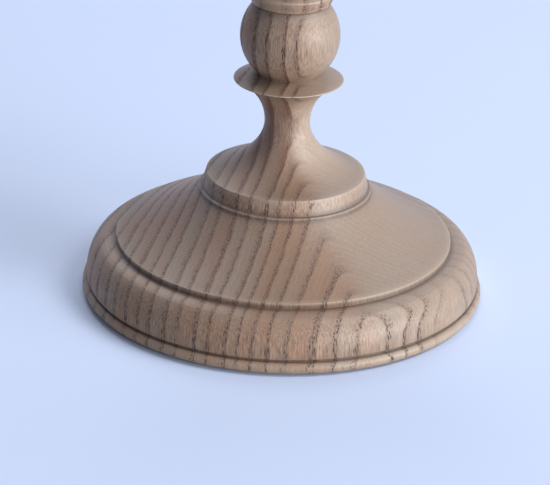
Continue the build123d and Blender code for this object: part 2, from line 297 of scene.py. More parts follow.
def lathe_tree():
    """Geometry Nodes tree that turns an outline of radius and level round the Z axis."""
    tree = bpy.data.node_groups.new("turned_on_the_lathe", "GeometryNodeTree")
    for name, kind in (("Outline", "Geometry"), ("Steps round", "Int"), ("Finish", "Material")):
        tree.interface.new_socket(name, in_out="INPUT", socket_type=f"NodeSocket{kind}")
    tree.interface.new_socket("Turned piece", in_out="OUTPUT", socket_type="NodeSocketGeometry")
    given = add(tree, "NodeGroupInput").outputs
    count = add(tree, "GeometryNodeAttributeDomainSize", {"Geometry": given["Outline"]}, component="MESH")
    across = add(tree, "FunctionNodeIntegerMath", (given["Steps round"], 1), operation="ADD")
    grid = add(tree, "GeometryNodeMeshGrid", {"Vertices X": count.outputs["Point Count"], "Vertices Y": across})
    index = add(tree, "GeometryNodeInputIndex")
    row = add(tree, "FunctionNodeIntegerMath", (index, across), operation="DIVIDE_FLOOR")
    column = add(tree, "FunctionNodeIntegerMath", (index, across), operation="MODULO")
    place = add(tree, "GeometryNodeInputPosition")
    point = add(tree, "GeometryNodeSampleIndex", {"Geometry": given["Outline"], "Value": place, "Index": row},
                data_type="FLOAT_VECTOR", domain="POINT")
    turn = add(tree, "ShaderNodeMath", (column, math.tau), operation="MULTIPLY")
    angle = add(tree, "ShaderNodeMath", (turn, given["Steps round"]), operation="DIVIDE")
    spun = add(tree, "ShaderNodeVectorRotate", {"Vector": point, "Angle": angle}, rotation_type="Z_AXIS")
    moved = add(tree, "GeometryNodeSetPosition", {"Geometry": grid.outputs["Mesh"], "Position": spun})
    # The turned mesh carries the measures for painted highlights, painted shade and wear.
    highlight_and_wear = moved
    for name in (*REACHES, "soil"):
        value = add(tree, "GeometryNodeInputNamedAttribute", {"Name": name}, data_type="FLOAT")
        value = add(tree, "GeometryNodeSampleIndex", {"Geometry": given["Outline"], "Value": value, "Index": row},
                    data_type="FLOAT", domain="POINT")
        highlight_and_wear = add(tree, "GeometryNodeStoreNamedAttribute", {"Geometry": highlight_and_wear, "Name": name, "Value": value},
                   data_type="FLOAT", domain="POINT")
    closed = add(tree, "GeometryNodeMergeByDistance", {"Geometry": highlight_and_wear, "Distance": MERGE_DISTANCE})
    outward = add(tree, "GeometryNodeFlipFaces", {"Mesh": closed})
    smooth = add(tree, "GeometryNodeSetShadeSmooth", {"Geometry": outward, "Shade Smooth": True})
    normal = add(tree, "GeometryNodeInputNormal")
    faced = add(tree, "GeometryNodeStoreNamedAttribute", {"Geometry": smooth, "Name": "outward", "Value": normal},
                data_type="FLOAT_VECTOR", domain="POINT")
    real = add(tree, "GeometryNodeRealizeInstances", {"Geometry": faced})
    dressed = add(tree, "GeometryNodeSetMaterial", {"Geometry": real, "Material": given["Finish"]})
    add(tree, "NodeGroupOutput", {"Turned piece": dressed})
    return tree


def turned_piece(name, points, finish, node, body, joints=()):
    """Turns an outline into a finished piece that stands for a CAD node and rides on its body.

    joints are outline points by an open joint, where painted shade, partly soil, darkens the surface.
    """
    sizes = bpy.context.scene.stand_sizes
    places, wear_and_painted_light = outline(points, sizes, joints)
    mesh = bpy.data.meshes.new(name)
    mesh.from_pydata([(r, 0, z) for r, z in places], [(i, i + 1) for i in range(len(places) - 1)], [])
    for attribute, values in wear_and_painted_light.items():
        mesh.attributes.new(attribute, "FLOAT", "POINT").data.foreach_set("value", values)
    piece = bpy.data.objects.new(name, mesh)
    bpy.context.collection.objects.link(piece)
    tree = bpy.data.node_groups.get("turned_on_the_lathe") or lathe_tree()
    lathe = piece.modifiers.new("lathe", "NODES")
    lathe.node_group = tree
    inputs = {item.name: item.identifier for item in tree.interface.items_tree if item.in_out == "INPUT"}
    lathe[inputs["Steps round"]] = sizes.steps_round
    lathe[inputs["Finish"]] = finish
    graph = bpy.context.evaluated_depsgraph_get()
    piece.data = bpy.data.meshes.new_from_object(piece.evaluated_get(graph), preserve_all_data_layers=True,
                                                 depsgraph=graph)
    piece.data.name = name
    piece.modifiers.remove(lathe)
    bpy.data.meshes.remove(mesh)
    low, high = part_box(node)
    verts = np.empty(len(piece.data.vertices) * 3)
    piece.data.vertices.foreach_get("co", verts)
    verts = verts.reshape(-1, 3)
    for corner, own in ((low, verts.min(axis=0)), (high, verts.max(axis=0))):
        if np.abs(np.array(corner) - own).max() > BOX_SLACK:
            raise RuntimeError(f"{name} leaves the box of {node}: {tuple(corner)} against {tuple(own)}")
    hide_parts(node)
    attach(piece, body)


def foot_outline():
    """Foot, pedestal, neck, flange and knop from the pad's recess to the stem's socket."""
    dip = math.degrees(math.asin((OVOLO_CENTRE[1] - RIM_GROOVE_TOP) / OVOLO_RISE))
    end = math.degrees(math.acos(OVOLO_ARRIS / OVOLO_WIDTH)) - OVOLO_EASED[0]
    ledge_start = OVOLO_CENTRE[0] + OVOLO_ARRIS - OVOLO_EASED[1]
    ledge_fall = OVOLO_RISE * (1 - math.sqrt(1 - (OVOLO_ARRIS / OVOLO_WIDTH) ** 2))
    ledge_share = (ledge_start - FILLET_RADIUS) / (OVOLO_CENTRE[0] + OVOLO_ARRIS - FILLET_RADIUS)
    seat = math.degrees(math.atan2(KNOP_SEAT - KNOP_CENTRE, KNOP_SEAT_RADIUS))
    top = math.degrees(math.atan2(KNOP_TOP - KNOP_CENTRE, KNOP_TOP_RADIUS))
    return [
        (0, RECESS_TOP), (RECESS_RADIUS, RECESS_TOP), (RECESS_RADIUS, FOOT_BASE),
        *half_round(GROOVE_RADIUS, BEAD_DEPTH, FOOT_BASE, BEAD_TOP), (GROOVE_RADIUS, RIM_GROOVE_TOP),
        *arc(OVOLO_CENTRE, OVOLO_WIDTH, OVOLO_RISE, -dip, end),
        (ledge_start, OVOLO_TOP - ledge_fall * ledge_share), (FILLET_RADIUS, OVOLO_TOP),
        *sweep((FILLET_RADIUS, SLOPE_BASE), (PEDESTAL_RADIUS, SLOPE_TOP), SLOPE_SHARES),
        (PEDESTAL_RADIUS, LIP_TOP), (PEDESTAL_SIDE, PEDESTAL_GROOVE),
        *sweep(PEDESTAL_ARRIS, (NECK_RADIUS, NECK_LEVEL), HOLLOW_SHARES),
        *sweep((NECK_RADIUS, NECK_LEVEL), (FLANGE_RADIUS, FLANGE_LEVEL), FLARE_SHARES),
        (FLANGE_RADIUS, FLANGE_TOP),
        *arc((0, KNOP_CENTRE), KNOP_RADIUS, KNOP_RADIUS, seat, top),
        (SOCKET_RADIUS, KNOP_TOP), (SOCKET_RADIUS, KNOP_TOP - SOCKET_DEPTH), (0, KNOP_TOP - SOCKET_DEPTH),
    ]


def stem_outline():
    """Collar, vase, ring and cup with a tenon at each end and the insert's bore."""
    tenon_base = KNOP_TOP - TENON_LENGTH
    return [
        (0, tenon_base), (TENON_RADIUS - TENON_CHAMFER, tenon_base), (TENON_RADIUS, tenon_base + TENON_CHAMFER),
        (TENON_RADIUS, KNOP_TOP), (COLLAR_BASE_RADIUS, KNOP_TOP), (COLLAR_RADIUS, KNOP_TOP + COLLAR_HEIGHT),
        *sweep((COLLAR_RADIUS, COLLAR_TOP), (HOLLOW_RADIUS, HOLLOW_LEVEL), HOLLOW_SHARES),
        *sweep((HOLLOW_RADIUS, HOLLOW_LEVEL), (VASE_RADIUS, VASE_LEVEL), VASE_LOW_SHARES),
        *sweep((VASE_RADIUS, VASE_LEVEL), (VASE_TOP_RADIUS, RING_BASE), VASE_TOP_SHARES),
        *half_round(VASE_TOP_RADIUS, RING_DEPTH, RING_BASE, RING_TOP),
        *sweep((VASE_TOP_RADIUS, RING_TOP), (CUP_RADIUS, CUP_LEVEL), FLARE_SHARES),
        (CUP_RADIUS, CUP_TOP), (PAN_TENON_RADIUS, CUP_TOP), (PAN_TENON_RADIUS, PAN_TENON_TOP),
        (INSERT_HOLE_RADIUS, PAN_TENON_TOP), (INSERT_HOLE_RADIUS, BORE_FLOOR), (0, BORE_FLOOR),
    ]


def pan_outline():
    """Dished pan with a beaded rim, closed round its hole."""
    return [
        (PAN_HOLE_RADIUS, CUP_TOP), (BOSS_RADIUS, CUP_TOP),
        *sweep((BOSS_RADIUS, BOSS_TOP), (PAN_GROOVE_RADIUS, PAN_BEAD_BASE), PAN_UNDER_SHARES),
        *half_round(PAN_GROOVE_RADIUS, PAN_BEAD_DEPTH, PAN_BEAD_BASE, PAN_TOP),
        (PAN_RECESS_RADIUS, PAN_TOP), (PAN_RECESS_RADIUS, RECESS_FLOOR), (PAN_HOLE_RADIUS, RECESS_FLOOR),
        (PAN_HOLE_RADIUS, CUP_TOP),
    ]


def liner_outline():
    """Sheet dish with a turned-out lip and a turned-up hole."""
    half = LINER_SHEET / 2
    floor, lip = LINER_BASE + half, LINER_BASE + LINER_DEPTH - half
    hole, wall = LINER_HOLE_RADIUS + half, LINER_RADIUS - half
    corners = [(hole, floor + LINER_COLLAR), (hole, floor), (wall, floor), (wall, lip), (wall + LINER_LIP, lip)]
    return bent_sheet(corners, (LINER_HOLE_BEND, LINER_BEND, LINER_BEND), LINER_SHEET)


def spike_outline():
    """Spike with a coved shoulder above its shank."""
    return [
        (0, SHANK_BASE), (SHANK_RADIUS, SHANK_BASE), (SHANK_RADIUS, WASHER_TOP),
        (SHOULDER_RADIUS, WASHER_TOP), (SHOULDER_RADIUS, SHOULDER_TOP),
        *arc((SPIKE_RADIUS + SHOULDER_COVE, SPIKE_BASE), SHOULDER_COVE, SHOULDER_COVE, 270, 180),
        (SPIKE_RADIUS, TAPER_BASE), (SPIKE_TIP_RADIUS, SPIKE_TIP), (0, SPIKE_TIP),
    ]


def ring_outline(inner, outer, base, top):
    """Plain ring, closed round its hole."""
    return [(inner, base), (outer, base), (outer, top), (inner, top), (inner, base)]


def disc_outline(radius, base, top):
    """Plain disc."""
    return [(0, base), (radius, base), (radius, top), (0, top)]


# Materials

def new_material(name):
    """An empty node material; gives the material, its tree and Object coordinates in millimetres."""
    material = bpy.data.materials.new(name)
    material.use_nodes = True
    tree = material.node_tree
    tree.nodes.clear()
    coords = add(tree, "ShaderNodeTexCoord").outputs["Object"]
    mm = add(tree, "ShaderNodeVectorMath", {0: coords, "Scale": 1 / MM}, operation="SCALE")
    return material, tree, mm


def ash_depth(tree, look, place, long_grain):
    """Millimetres from the pith through rings with a rounded corner, and through the left and right rings alone."""
    left = add(tree, "ShaderNodeVectorMath", (place, LEFT_RINGS_ACROSS), operation="DOT_PRODUCT").outputs["Value"]
    left = add(tree, "ShaderNodeMath", (left, PITH_TO_AXIS[0]), operation="ADD")
    right = add(tree, "ShaderNodeVectorMath", (place, RIGHT_RINGS_ACROSS), operation="DOT_PRODUCT").outputs["Value"]
    right = add(tree, "ShaderNodeMath", (right, PITH_TO_AXIS[1]), operation="ADD")
    up = add(tree, "ShaderNodeSeparateXYZ", (place,)).outputs["Z"]
    curl = add(tree, "ShaderNodeVectorMath", (place, PITH), operation="SUBTRACT")
    curl = add(tree, "ShaderNodeVectorMath", (curl, (0, 0, 0)), operation="MAXIMUM")
    curl = add(tree, "ShaderNodeVectorMath", (curl, (1, 1, 0)), operation="MULTIPLY")
    curl = add(tree, "ShaderNodeVectorMath", (curl,), operation="LENGTH").outputs["Value"]
    loss = add(tree, "ShaderNodeMapRange", (up, *CURL_LEVELS, *CURL_LOSS), interpolation_type="SMOOTHSTEP")
    curl = add(tree, "ShaderNodeMath", (curl, loss), operation="SUBTRACT")
    curl = add(tree, "ShaderNodeMath", (curl, PITH_RINGS), operation="MINIMUM")
    right = add(tree, "ShaderNodeMath", (right, curl, 2 * RING_CORNER), operation="SMOOTH_MAX")
    depth = add(tree, "ShaderNodeMath", (left, right, RING_CORNER), operation="SMOOTH_MAX")
    waver = add(tree, "ShaderNodeTexNoise", {"Vector": long_grain, "Scale": 1 / WAVER_SIZE, "Detail": 2.0})
    depth = add(tree, "ShaderNodeMath", (waver.outputs["Fac"], look.waver / MM, depth), operation="MULTIPLY_ADD")
    return depth, left, right


def ash_years(tree, depth):
    """How far through its ring a depth lies, from 0 to 1, and a number drawn for that ring."""
    share = add(tree, "ShaderNodeMath", (depth, sum(RING_WIDTHS)), operation="DIVIDE")
    growth = add(tree, "ShaderNodeFloatCurve", {"Value": share})
    years = growth.mapping.curves[0].points
    reached = 0.0
    for year, width in enumerate(RING_WIDTHS[:-1], 1):
        reached += width
        years.new(reached / sum(RING_WIDTHS), year / len(RING_WIDTHS)).handle_type = "VECTOR"
    growth.mapping.update()
    ring = add(tree, "ShaderNodeMath", (growth, len(RING_WIDTHS)), operation="MULTIPLY")
    year = add(tree, "ShaderNodeMath", (ring,), operation="FLOOR")
    drawn = add(tree, "ShaderNodeTexWhiteNoise", {"W": year}, noise_dimensions="1D").outputs["Value"]
    return add(tree, "ShaderNodeMath", (ring,), operation="FRACT"), drawn


def ash_bands(tree, look, place, long_grain, depth, right, side, part, drawn):
    """Strength of the large pores at the start of a ring, and of their brown stain, which reaches further into it.

    Both are sudden on the pith's side and fade outwards; side is how far a place is left of the rings' corner.
    """
    up = add(tree, "ShaderNodeSeparateXYZ", (place,)).outputs["Z"]
    ovolo = add(tree, "ShaderNodeMapRange", (depth, *OVOLO_RINGS, *OVOLO_BANDS))
    rear = add(tree, "ShaderNodeMapRange", (right, *REAR_RINGS, look.right_side, REAR_BANDS))
    rightward = add(tree, "ShaderNodeMapRange", (up, *OVOLO_LEVELS, ovolo, rear))
    rightward = add(tree, "ShaderNodeMapRange", (side, *BAND_CORNER, rightward, 1.0))
    patch = add(tree, "ShaderNodeTexNoise", {"Vector": long_grain, "Scale": 1 / PATCH_SIZE, "Detail": 1.0})
    strength = add(tree, "ShaderNodeMath", (drawn, BAND_CHANCE, patch.outputs["Fac"]), operation="MULTIPLY_ADD")
    strength = add(tree, "ShaderNodeMapRange", (strength, *BAND_DRAWN, *BAND_STRENGTH))
    strength = add(tree, "ShaderNodeMath", (strength, rightward), operation="MULTIPLY")
    both = []
    for falls in (PORE_FADE, STAIN_FADE):
        fade = add(tree, "ShaderNodeFloatCurve", {"Value": part})
        points = fade.mapping.curves[0].points
        points[0].location, points[1].location = (0.0, 1.0), (1.0, 1.0)
        for where, amount in falls:
            points.new(where, amount)
        fade.mapping.update()
        both.append(add(tree, "ShaderNodeMath", (fade, strength), operation="MULTIPLY", use_clamp=True))
    return both


def oiled_ash(name, turn, shift):
    """Oiled ash, turned and sanded: ring-porous, so each ring opens with a band of dark pores.

    The eye gets dotted dark lines where the surface cuts across the grain, long dashes where it runs along it,
    a warm tint in some rings, fine pale lines between the bands and a low sheen.
    turn and shift set the blank's grain: Z is along the grain, in millimetres from the foot blank's place.
    """
    look = bpy.context.scene.stand_ash
    material, tree, mm = new_material(name)
    level = add(tree, "ShaderNodeSeparateXYZ", (mm,)).outputs["Z"]
    arris, swell, soil = (
        add(tree, "ShaderNodeAttribute", attribute_name=wear_and_painted_light, attribute_type="GEOMETRY").outputs["Fac"]
        for wear_and_painted_light in (*REACHES, "soil"))

    # How squarely the surface cuts across the grain.
    outward = add(tree, "ShaderNodeAttribute", attribute_name="outward", attribute_type="GEOMETRY").outputs["Vector"]
    facing = add(tree, "ShaderNodeMapping", {"Vector": outward, "Rotation": turn})
    facing = add(tree, "ShaderNodeSeparateXYZ", (facing,)).outputs["Z"]
    facing = add(tree, "ShaderNodeMath", (facing, 2.0), operation="POWER")

    # Place in the blank, with a slow wander of the grain.
    grain = add(tree, "ShaderNodeMapping", {"Vector": mm, "Rotation": turn, "Location": shift})
    long_grain = add(tree, "ShaderNodeVectorMath", (grain, LONG_GRAIN), operation="MULTIPLY")
    wander = add(tree, "ShaderNodeTexNoise", {"Vector": long_grain, "Scale": 1 / WANDER_SIZE, "Detail": 2.0})
    wander = add(tree, "ShaderNodeVectorMath", (wander.outputs["Color"], NOISE_MIDDLE), operation="SUBTRACT")
    wander = add(tree, "ShaderNodeVectorMath", {0: wander, "Scale": look.wander / MM}, operation="SCALE")
    place = add(tree, "ShaderNodeVectorMath", (grain, wander), operation="ADD")

    depth, left, right = ash_depth(tree, look, place, long_grain)
    side = add(tree, "ShaderNodeMath", (left, right), operation="SUBTRACT")
    part, drawn = ash_years(tree, depth)
    band, stain = ash_bands(tree, look, place, long_grain, depth, right, side, part, drawn)

    # Pores about 0.35 mm wide and 2 mm long, a little larger than real ones so that they show.
    cell = MM / look.pore
    pores = add(tree, "ShaderNodeVectorMath", (place, (cell, cell, cell / PORE_LENGTH)), operation="MULTIPLY")
    pores = add(tree, "ShaderNodeTexVoronoi", {"Vector": pores, "Scale": 1.0})
    reach = add(tree, "ShaderNodeMath", (band, PORE_REACH, PORE_LEAST), operation="MULTIPLY_ADD")
    core = add(tree, "ShaderNodeMath", (reach, PORE_CORE), operation="MULTIPLY")
    pore = add(tree, "ShaderNodeMapRange", (pores.outputs["Distance"], core, reach, 1.0, 0.0))

    # Fibre: hatching 0.35 mm wide and 3.5 mm long, threads far longer, and wavy pale lines between the bands.
    hatch = add(tree, "ShaderNodeVectorMath", (place, HATCH), operation="MULTIPLY")
    hatch = add(tree, "ShaderNodeTexNoise", {"Vector": hatch, "Scale": 1.0, "Detail": 2.0, "Roughness": 0.6})
    fibre = add(tree, "ShaderNodeVectorMath", (place, FIBRE), operation="MULTIPLY")
    fibre = add(tree, "ShaderNodeTexNoise", {"Vector": fibre, "Scale": 1.0, "Detail": 4.0, "Roughness": 0.65})
    ripple = add(tree, "ShaderNodeTexNoise", {"Vector": place, "Scale": RIPPLE, "Detail": 2.0})
    ripple = add(tree, "ShaderNodeMath", (ripple.outputs["Fac"], RIPPLE_TURN), operation="MULTIPLY")
    lines = add(tree, "ShaderNodeMath", (depth, math.tau / LINE_SPACING, ripple), operation="MULTIPLY_ADD")
    lines = add(tree, "ShaderNodeMath", (lines,), operation="SINE")

    # The neck is paler and greyer than the foot, with closed pores and a browner left.
    raised = add(tree, "ShaderNodeMapRange", (level, *NECK_START))
    below = add(tree, "ShaderNodeMapRange", (level, *NECK_END, 1.0, 0.0))
    neck = add(tree, "ShaderNodeMath", (raised, below), operation="MULTIPLY")

    # Wood: pale or warm in slow blotches, warmer left of the rings' corner, and browner in the bands.
    heart = add(tree, "ShaderNodeMapRange", (side, *HEART_CORNER, *HEART_WARMTH))
    blotch = add(tree, "ShaderNodeTexNoise", {"Vector": long_grain, "Scale": 1 / BLOTCH_SIZE, "Detail": 3.0})
    warmth = add(tree, "ShaderNodeMath", (drawn, WARM_CHANCE, blotch.outputs["Fac"]), operation="MULTIPLY_ADD")
    warmth = add(tree, "ShaderNodeMapRange", (warmth, *WARM_DRAWN))
    warmth = add(tree, "ShaderNodeMath", (warmth, heart), operation="MULTIPLY")
    grey = add(tree, "ShaderNodeMapRange", (neck, *WHOLE, 1.0, NECK_WARMTH))
    warmth = add(tree, "ShaderNodeMath", (warmth, grey), operation="MULTIPLY")
    wood = add(tree, "ShaderNodeMix", {0: warmth, 6: look.pale, 7: look.warm}, data_type="RGBA")
    leftward = add(tree, "ShaderNodeMapRange", (side, *NECK_CORNER, 0.0, NECK_TINT))
    tint = add(tree, "ShaderNodeMath", (raised, RAISED_TINT, look.stain), operation="MULTIPLY_ADD")
    tint = add(tree, "ShaderNodeMath", (stain, tint), operation="MULTIPLY")
    tint = add(tree, "ShaderNodeMath", (neck, leftward, tint), operation="MULTIPLY_ADD", use_clamp=True)
    wood = add(tree, "ShaderNodeMix", {0: tint, 6: wood, 7: look.band}, data_type="RGBA")

    # Light and dark of the fibre: hatching shows along the grain and little on a cross cut.
    streak = add(tree, "ShaderNodeMapRange", (hatch.outputs["Fac"], *MOST_NOISE, *HATCH_SHADE))
    along = add(tree, "ShaderNodeMapRange", (facing, *CROSS_CUT, *CROSS_HATCH))
    heart_hatch = add(tree, "ShaderNodeMapRange", (heart, *HEART_WARMTH, *HEART_HATCH))
    along = add(tree, "ShaderNodeMath", (along, heart_hatch), operation="MULTIPLY")
    value = add(tree, "ShaderNodeMath", (streak, along, 1.0), operation="MULTIPLY_ADD")
    pale_lines = add(tree, "ShaderNodeMapRange", (lines, *LINE_CREST, *LINE_SHADE))
    value = add(tree, "ShaderNodeMath", (value, pale_lines), operation="ADD")
    thread = add(tree, "ShaderNodeMapRange", (fibre.outputs["Fac"], *MOST_NOISE, *FIBRE_SHADE))
    value = add(tree, "ShaderNodeMath", (value, thread), operation="ADD")
    value = add(tree, "ShaderNodeMath", (neck, NECK_PALER, value), operation="MULTIPLY_ADD")
    wood = add(tree, "ShaderNodeVectorMath", {0: wood, "Scale": value}, operation="SCALE")

    # Painted shade, partly soil, darkens grooves and corners; arrises get a painted highlight, partly wear, and beads
    # are rubbed paler; pores stay dark on all of them.
    shading_and_soiling = add(tree, "ShaderNodeMapRange", (level, *NECK_END, look.soil, look.soil * KNOP_SHADE_SOIL))
    shading_and_soiling = add(tree, "ShaderNodeMath", (soil, shading_and_soiling), operation="MULTIPLY")
    wood = add(tree, "ShaderNodeMix", {0: shading_and_soiling, 6: wood, 7: look.pore_colour}, data_type="RGBA")
    # Painted highlight, partly wear, on arrises, and rubbed paler wood on beads.
    highlight_and_wear = add(tree, "ShaderNodeMapRange", (arris, *ARRIS_HEIGHT, *ARRIS_HIGHLIGHT_AND_WEAR))
    highlight_and_wear = add(tree, "ShaderNodeMath", (swell, look.rubbed, highlight_and_wear), operation="MULTIPLY_ADD", use_clamp=True)
    wood = add(tree, "ShaderNodeMix", {0: highlight_and_wear, 6: wood, 7: look.highlight_and_wear}, data_type="RGBA")
    dark = add(tree, "ShaderNodeMapRange", (facing, *WHOLE, *PORE_DARK))
    dark = add(tree, "ShaderNodeMath", (pore, dark), operation="MULTIPLY")
    closed = add(tree, "ShaderNodeMapRange", (neck, *WHOLE, 1.0, NECK_PORES))
    dark = add(tree, "ShaderNodeMath", (dark, closed), operation="MULTIPLY")
    wood = add(tree, "ShaderNodeMix", {0: dark, 6: wood, 7: look.pore_colour}, data_type="RGBA")

    # Oil leaves a low sheen, duller in the open pores, which lie a little below the surface.
    gloss = add(tree, "ShaderNodeMath", (pore, PORE_GLOSS, look.roughness), operation="MULTIPLY_ADD")
    gloss = add(tree, "ShaderNodeMath", (fibre.outputs["Fac"], FIBRE_GLOSS, gloss), operation="MULTIPLY_ADD")
    height = add(tree, "ShaderNodeMath", (hatch.outputs["Fac"], HATCH_HEIGHT), operation="MULTIPLY")
    height = add(tree, "ShaderNodeMath", (height, pore), operation="SUBTRACT")
    bump = add(tree, "ShaderNodeBump", {"Strength": PORE_BUMP, "Distance": PORE_DEPTH * MM, "Height": height})
    surface = add(tree, "ShaderNodeBsdfPrincipled", {
        "Base Color": wood, "Roughness": gloss, "Normal": bump, "IOR": ASH_IOR, "Specular IOR Level": ASH_SPECULAR})
    add(tree, "ShaderNodeOutputMaterial", {"Surface": surface})
    return material


def turned_metal(name, colour, tarnish, roughness, pitch, depth):
    """Metal worked on a lathe: fine lines round the axis break the gloss, and a thin uneven film dulls the colour.

    pitch is the line spacing and depth their height, both in millimetres.
    """
    material, tree, mm = new_material(name)
    parts = add(tree, "ShaderNodeSeparateXYZ", (mm,)).outputs
    flat = add(tree, "ShaderNodeCombineXYZ", (parts["X"], parts["Y"]))
    out = add(tree, "ShaderNodeVectorMath", (flat,), operation="LENGTH").outputs["Value"]
    rings = add(tree, "ShaderNodeMath", (out, 1 / pitch), operation="MULTIPLY")
    levels = add(tree, "ShaderNodeMath", (parts["Z"], 1 / pitch), operation="MULTIPLY")
    track = add(tree, "ShaderNodeCombineXYZ", (rings, levels))
    lines = add(tree, "ShaderNodeTexNoise", {"Vector": track, "Scale": 1.0, "Detail": 3.0, "Roughness": 0.7})
    lines = lines.outputs["Fac"]
    cloud = add(tree, "ShaderNodeTexNoise", {"Vector": mm, "Scale": 1 / FILM_SIZE, "Detail": 5.0, "Roughness": 0.65})
    film = add(tree, "ShaderNodeMapRange", (cloud.outputs["Fac"], *FILM_DRAWN, *FILM_DEPTH))
    body = add(tree, "ShaderNodeMix", {0: film, 6: colour, 7: tarnish}, data_type="RGBA")
    gloss = add(tree, "ShaderNodeMath", (lines, TOOL_GLOSS, roughness - TOOL_GLOSS / 2), operation="MULTIPLY_ADD")
    gloss = add(tree, "ShaderNodeMath", (film, FILM_GLOSS, gloss), operation="MULTIPLY_ADD")
    bump = add(tree, "ShaderNodeBump", {"Strength": TOOL_BUMP, "Distance": depth * MM, "Height": lines})
    surface = add(tree, "ShaderNodeBsdfPrincipled", {
        "Base Color": body, "Roughness": gloss, "Normal": bump, "Metallic": 1.0})
    add(tree, "ShaderNodeOutputMaterial", {"Surface": surface})
    return material


def pressed_cork(name):
    """Pressed cork: granules of 1 to 3 mm in mixed browns with dark specks of bark, dry and matt."""
    look = bpy.context.scene.stand_fittings
    material, tree, mm = new_material(name)
    granules = add(tree, "ShaderNodeTexVoronoi", {"Vector": mm, "Scale": 1 / GRANULE})
    seams = add(tree, "ShaderNodeTexVoronoi", {"Vector": mm, "Scale": 1 / GRANULE}, feature="DISTANCE_TO_EDGE")
    seams = seams.outputs["Distance"]
    drawn = add(tree, "ShaderNodeSeparateXYZ", (granules.outputs["Color"],)).outputs["X"]
    cork = add(tree, "ShaderNodeMix", {0: drawn, 6: look.cork_dark, 7: look.cork}, data_type="RGBA")
    specks = add(tree, "ShaderNodeTexNoise", {"Vector": mm, "Scale": SPECK, "Detail": 4.0})
    speck = add(tree, "ShaderNodeMapRange", (specks.outputs["Fac"], *SPECK_DRAWN, *SPECK_DARK))
    cork = add(tree, "ShaderNodeMix", {0: speck, 6: cork, 7: look.cork_bark}, data_type="RGBA")
    seam = add(tree, "ShaderNodeMapRange", (seams, *SEAM, *SEAM_DARK))
    cork = add(tree, "ShaderNodeMix", {0: seam, 6: cork, 7: look.cork_bark}, data_type="RGBA")
    bump = add(tree, "ShaderNodeBump", {"Strength": SEAM_BUMP, "Distance": SEAM_DEPTH * MM, "Height": seams})
    surface = add(tree, "ShaderNodeBsdfPrincipled", {"Base Color": cork, "Roughness": CORK_ROUGHNESS, "Normal": bump})
    add(tree, "ShaderNodeOutputMaterial", {"Surface": surface})
    return material


# Properties, with the settings that many of them share

COLOUR = {"size": 4, "subtype": "COLOR", "min": 0, "max": 1}
SHARE = {"min": 0, "max": 1, "subtype": "FACTOR"}
LENGTH = {"precision": 5, "unit": "LENGTH"}
POWER = {"min": 0, "max": 200, "unit": "POWER"}


class StandSizes(bpy.types.PropertyGroup):
    """How finely the pieces are turned."""
    arris: bpy.props.FloatProperty(
        name="Arris", description="How far an edge is rubbed down along the outline",
        default=0.1 * MM, min=0.05 * MM, max=0.3 * MM, **LENGTH)
    outline_turn: bpy.props.FloatProperty(
        name="Outline turn", description="Largest bend between two outline points",
        default=math.radians(7), min=math.radians(2), max=math.radians(20), subtype="ANGLE")
    steps_round: bpy.props.IntProperty(
        name="Steps round", description="Faces round the turning axis", default=288, min=48, max=384)


class StandAsh(bpy.types.PropertyGroup):
    """Look of the oiled ash."""
    pale: bpy.props.FloatVectorProperty(
        name="Pale wood", description="Wood between the pore bands", default=linear("#8A7B6E"), **COLOUR)
    warm: bpy.props.FloatVectorProperty(
        name="Warm wood", description="Wood in the warmer rings", default=linear("#8C6E5A"), **COLOUR)
    band: bpy.props.FloatVectorProperty(
        name="Pore band", description="Wood among the large pores", default=linear("#624639"), **COLOUR)
    pore_colour: bpy.props.FloatVectorProperty(
        name="Pores", description="Dark of the open pores", default=linear("#2E1F18"), **COLOUR)
    # Colour of the painted highlight, partly wear, on arrises and of the rubbed beads.
    highlight_and_wear: bpy.props.FloatVectorProperty(
        name="Lit and worn edge", description="Wood on rubbed arrises", default=linear("#A49486"), **COLOUR)
    pore: bpy.props.FloatProperty(
        name="Pore spacing", description="Distance between pores",
        default=0.38 * MM, min=0.1 * MM, max=3 * MM, **LENGTH)
    wander: bpy.props.FloatProperty(
        name="Wander", description="How far the rings wander from their line",
        default=2.0 * MM, min=0, max=10 * MM, **LENGTH)
    waver: bpy.props.FloatProperty(
        name="Waver", description="How unsteady a ring's border is", default=0.9 * MM, min=0, max=3 * MM, **LENGTH)
    right_side: bpy.props.FloatProperty(
        name="Right side", description="Strength of the bands on the right of the rings' corner, above the ovolo",
        default=0.08, **SHARE)
    rubbed: bpy.props.FloatProperty(
        name="Rubbed", description="How pale beads and arrises are for each millimetre that they stand out",
        default=1.0, min=0, max=2)
    stain: bpy.props.FloatProperty(
        name="Stain", description="How brown the bands are", default=0.53, **SHARE)
    # Painted shade in corners and under the collar's overhang, partly soil.
    soil: bpy.props.FloatProperty(
        name="Shade and soil", description="How dark the corners are", default=0.55, **SHARE)
    roughness: bpy.props.FloatProperty(
        name="Roughness", description="Dullness of the oiled surface", default=0.42, **SHARE)


class StandFittings(bpy.types.PropertyGroup):
    """Look of the metal fittings and the pad."""
    brass: bpy.props.FloatVectorProperty(
        name="Liner brass", description="Spun brass of the liner", default=linear("#CDB27A"), **COLOUR)
    fitting: bpy.props.FloatVectorProperty(
        name="Fitting brass", description="Machined brass of washer and insert", default=linear("#C4A66C"), **COLOUR)
    tarnish: bpy.props.FloatVectorProperty(
        name="Tarnish", description="Brown film on the brass", default=linear("#9A7B4C"), **COLOUR)
    steel: bpy.props.FloatVectorProperty(
        name="Steel", description="Turned steel of the spike", default=linear("#C4C4C6"), **COLOUR)
    steel_film: bpy.props.FloatVectorProperty(
        name="Steel film", description="Darker film on the steel", default=linear("#8E8B88"), **COLOUR)
    cork: bpy.props.FloatVectorProperty(
        name="Cork", description="Pale granules", default=linear("#C79E70"), **COLOUR)
    cork_dark: bpy.props.FloatVectorProperty(
        name="Dark cork", description="Dark granules", default=linear("#A1784D"), **COLOUR)
    cork_bark: bpy.props.FloatVectorProperty(
        name="Bark", description="Specks and seams", default=linear("#5A3D28"), **COLOUR)


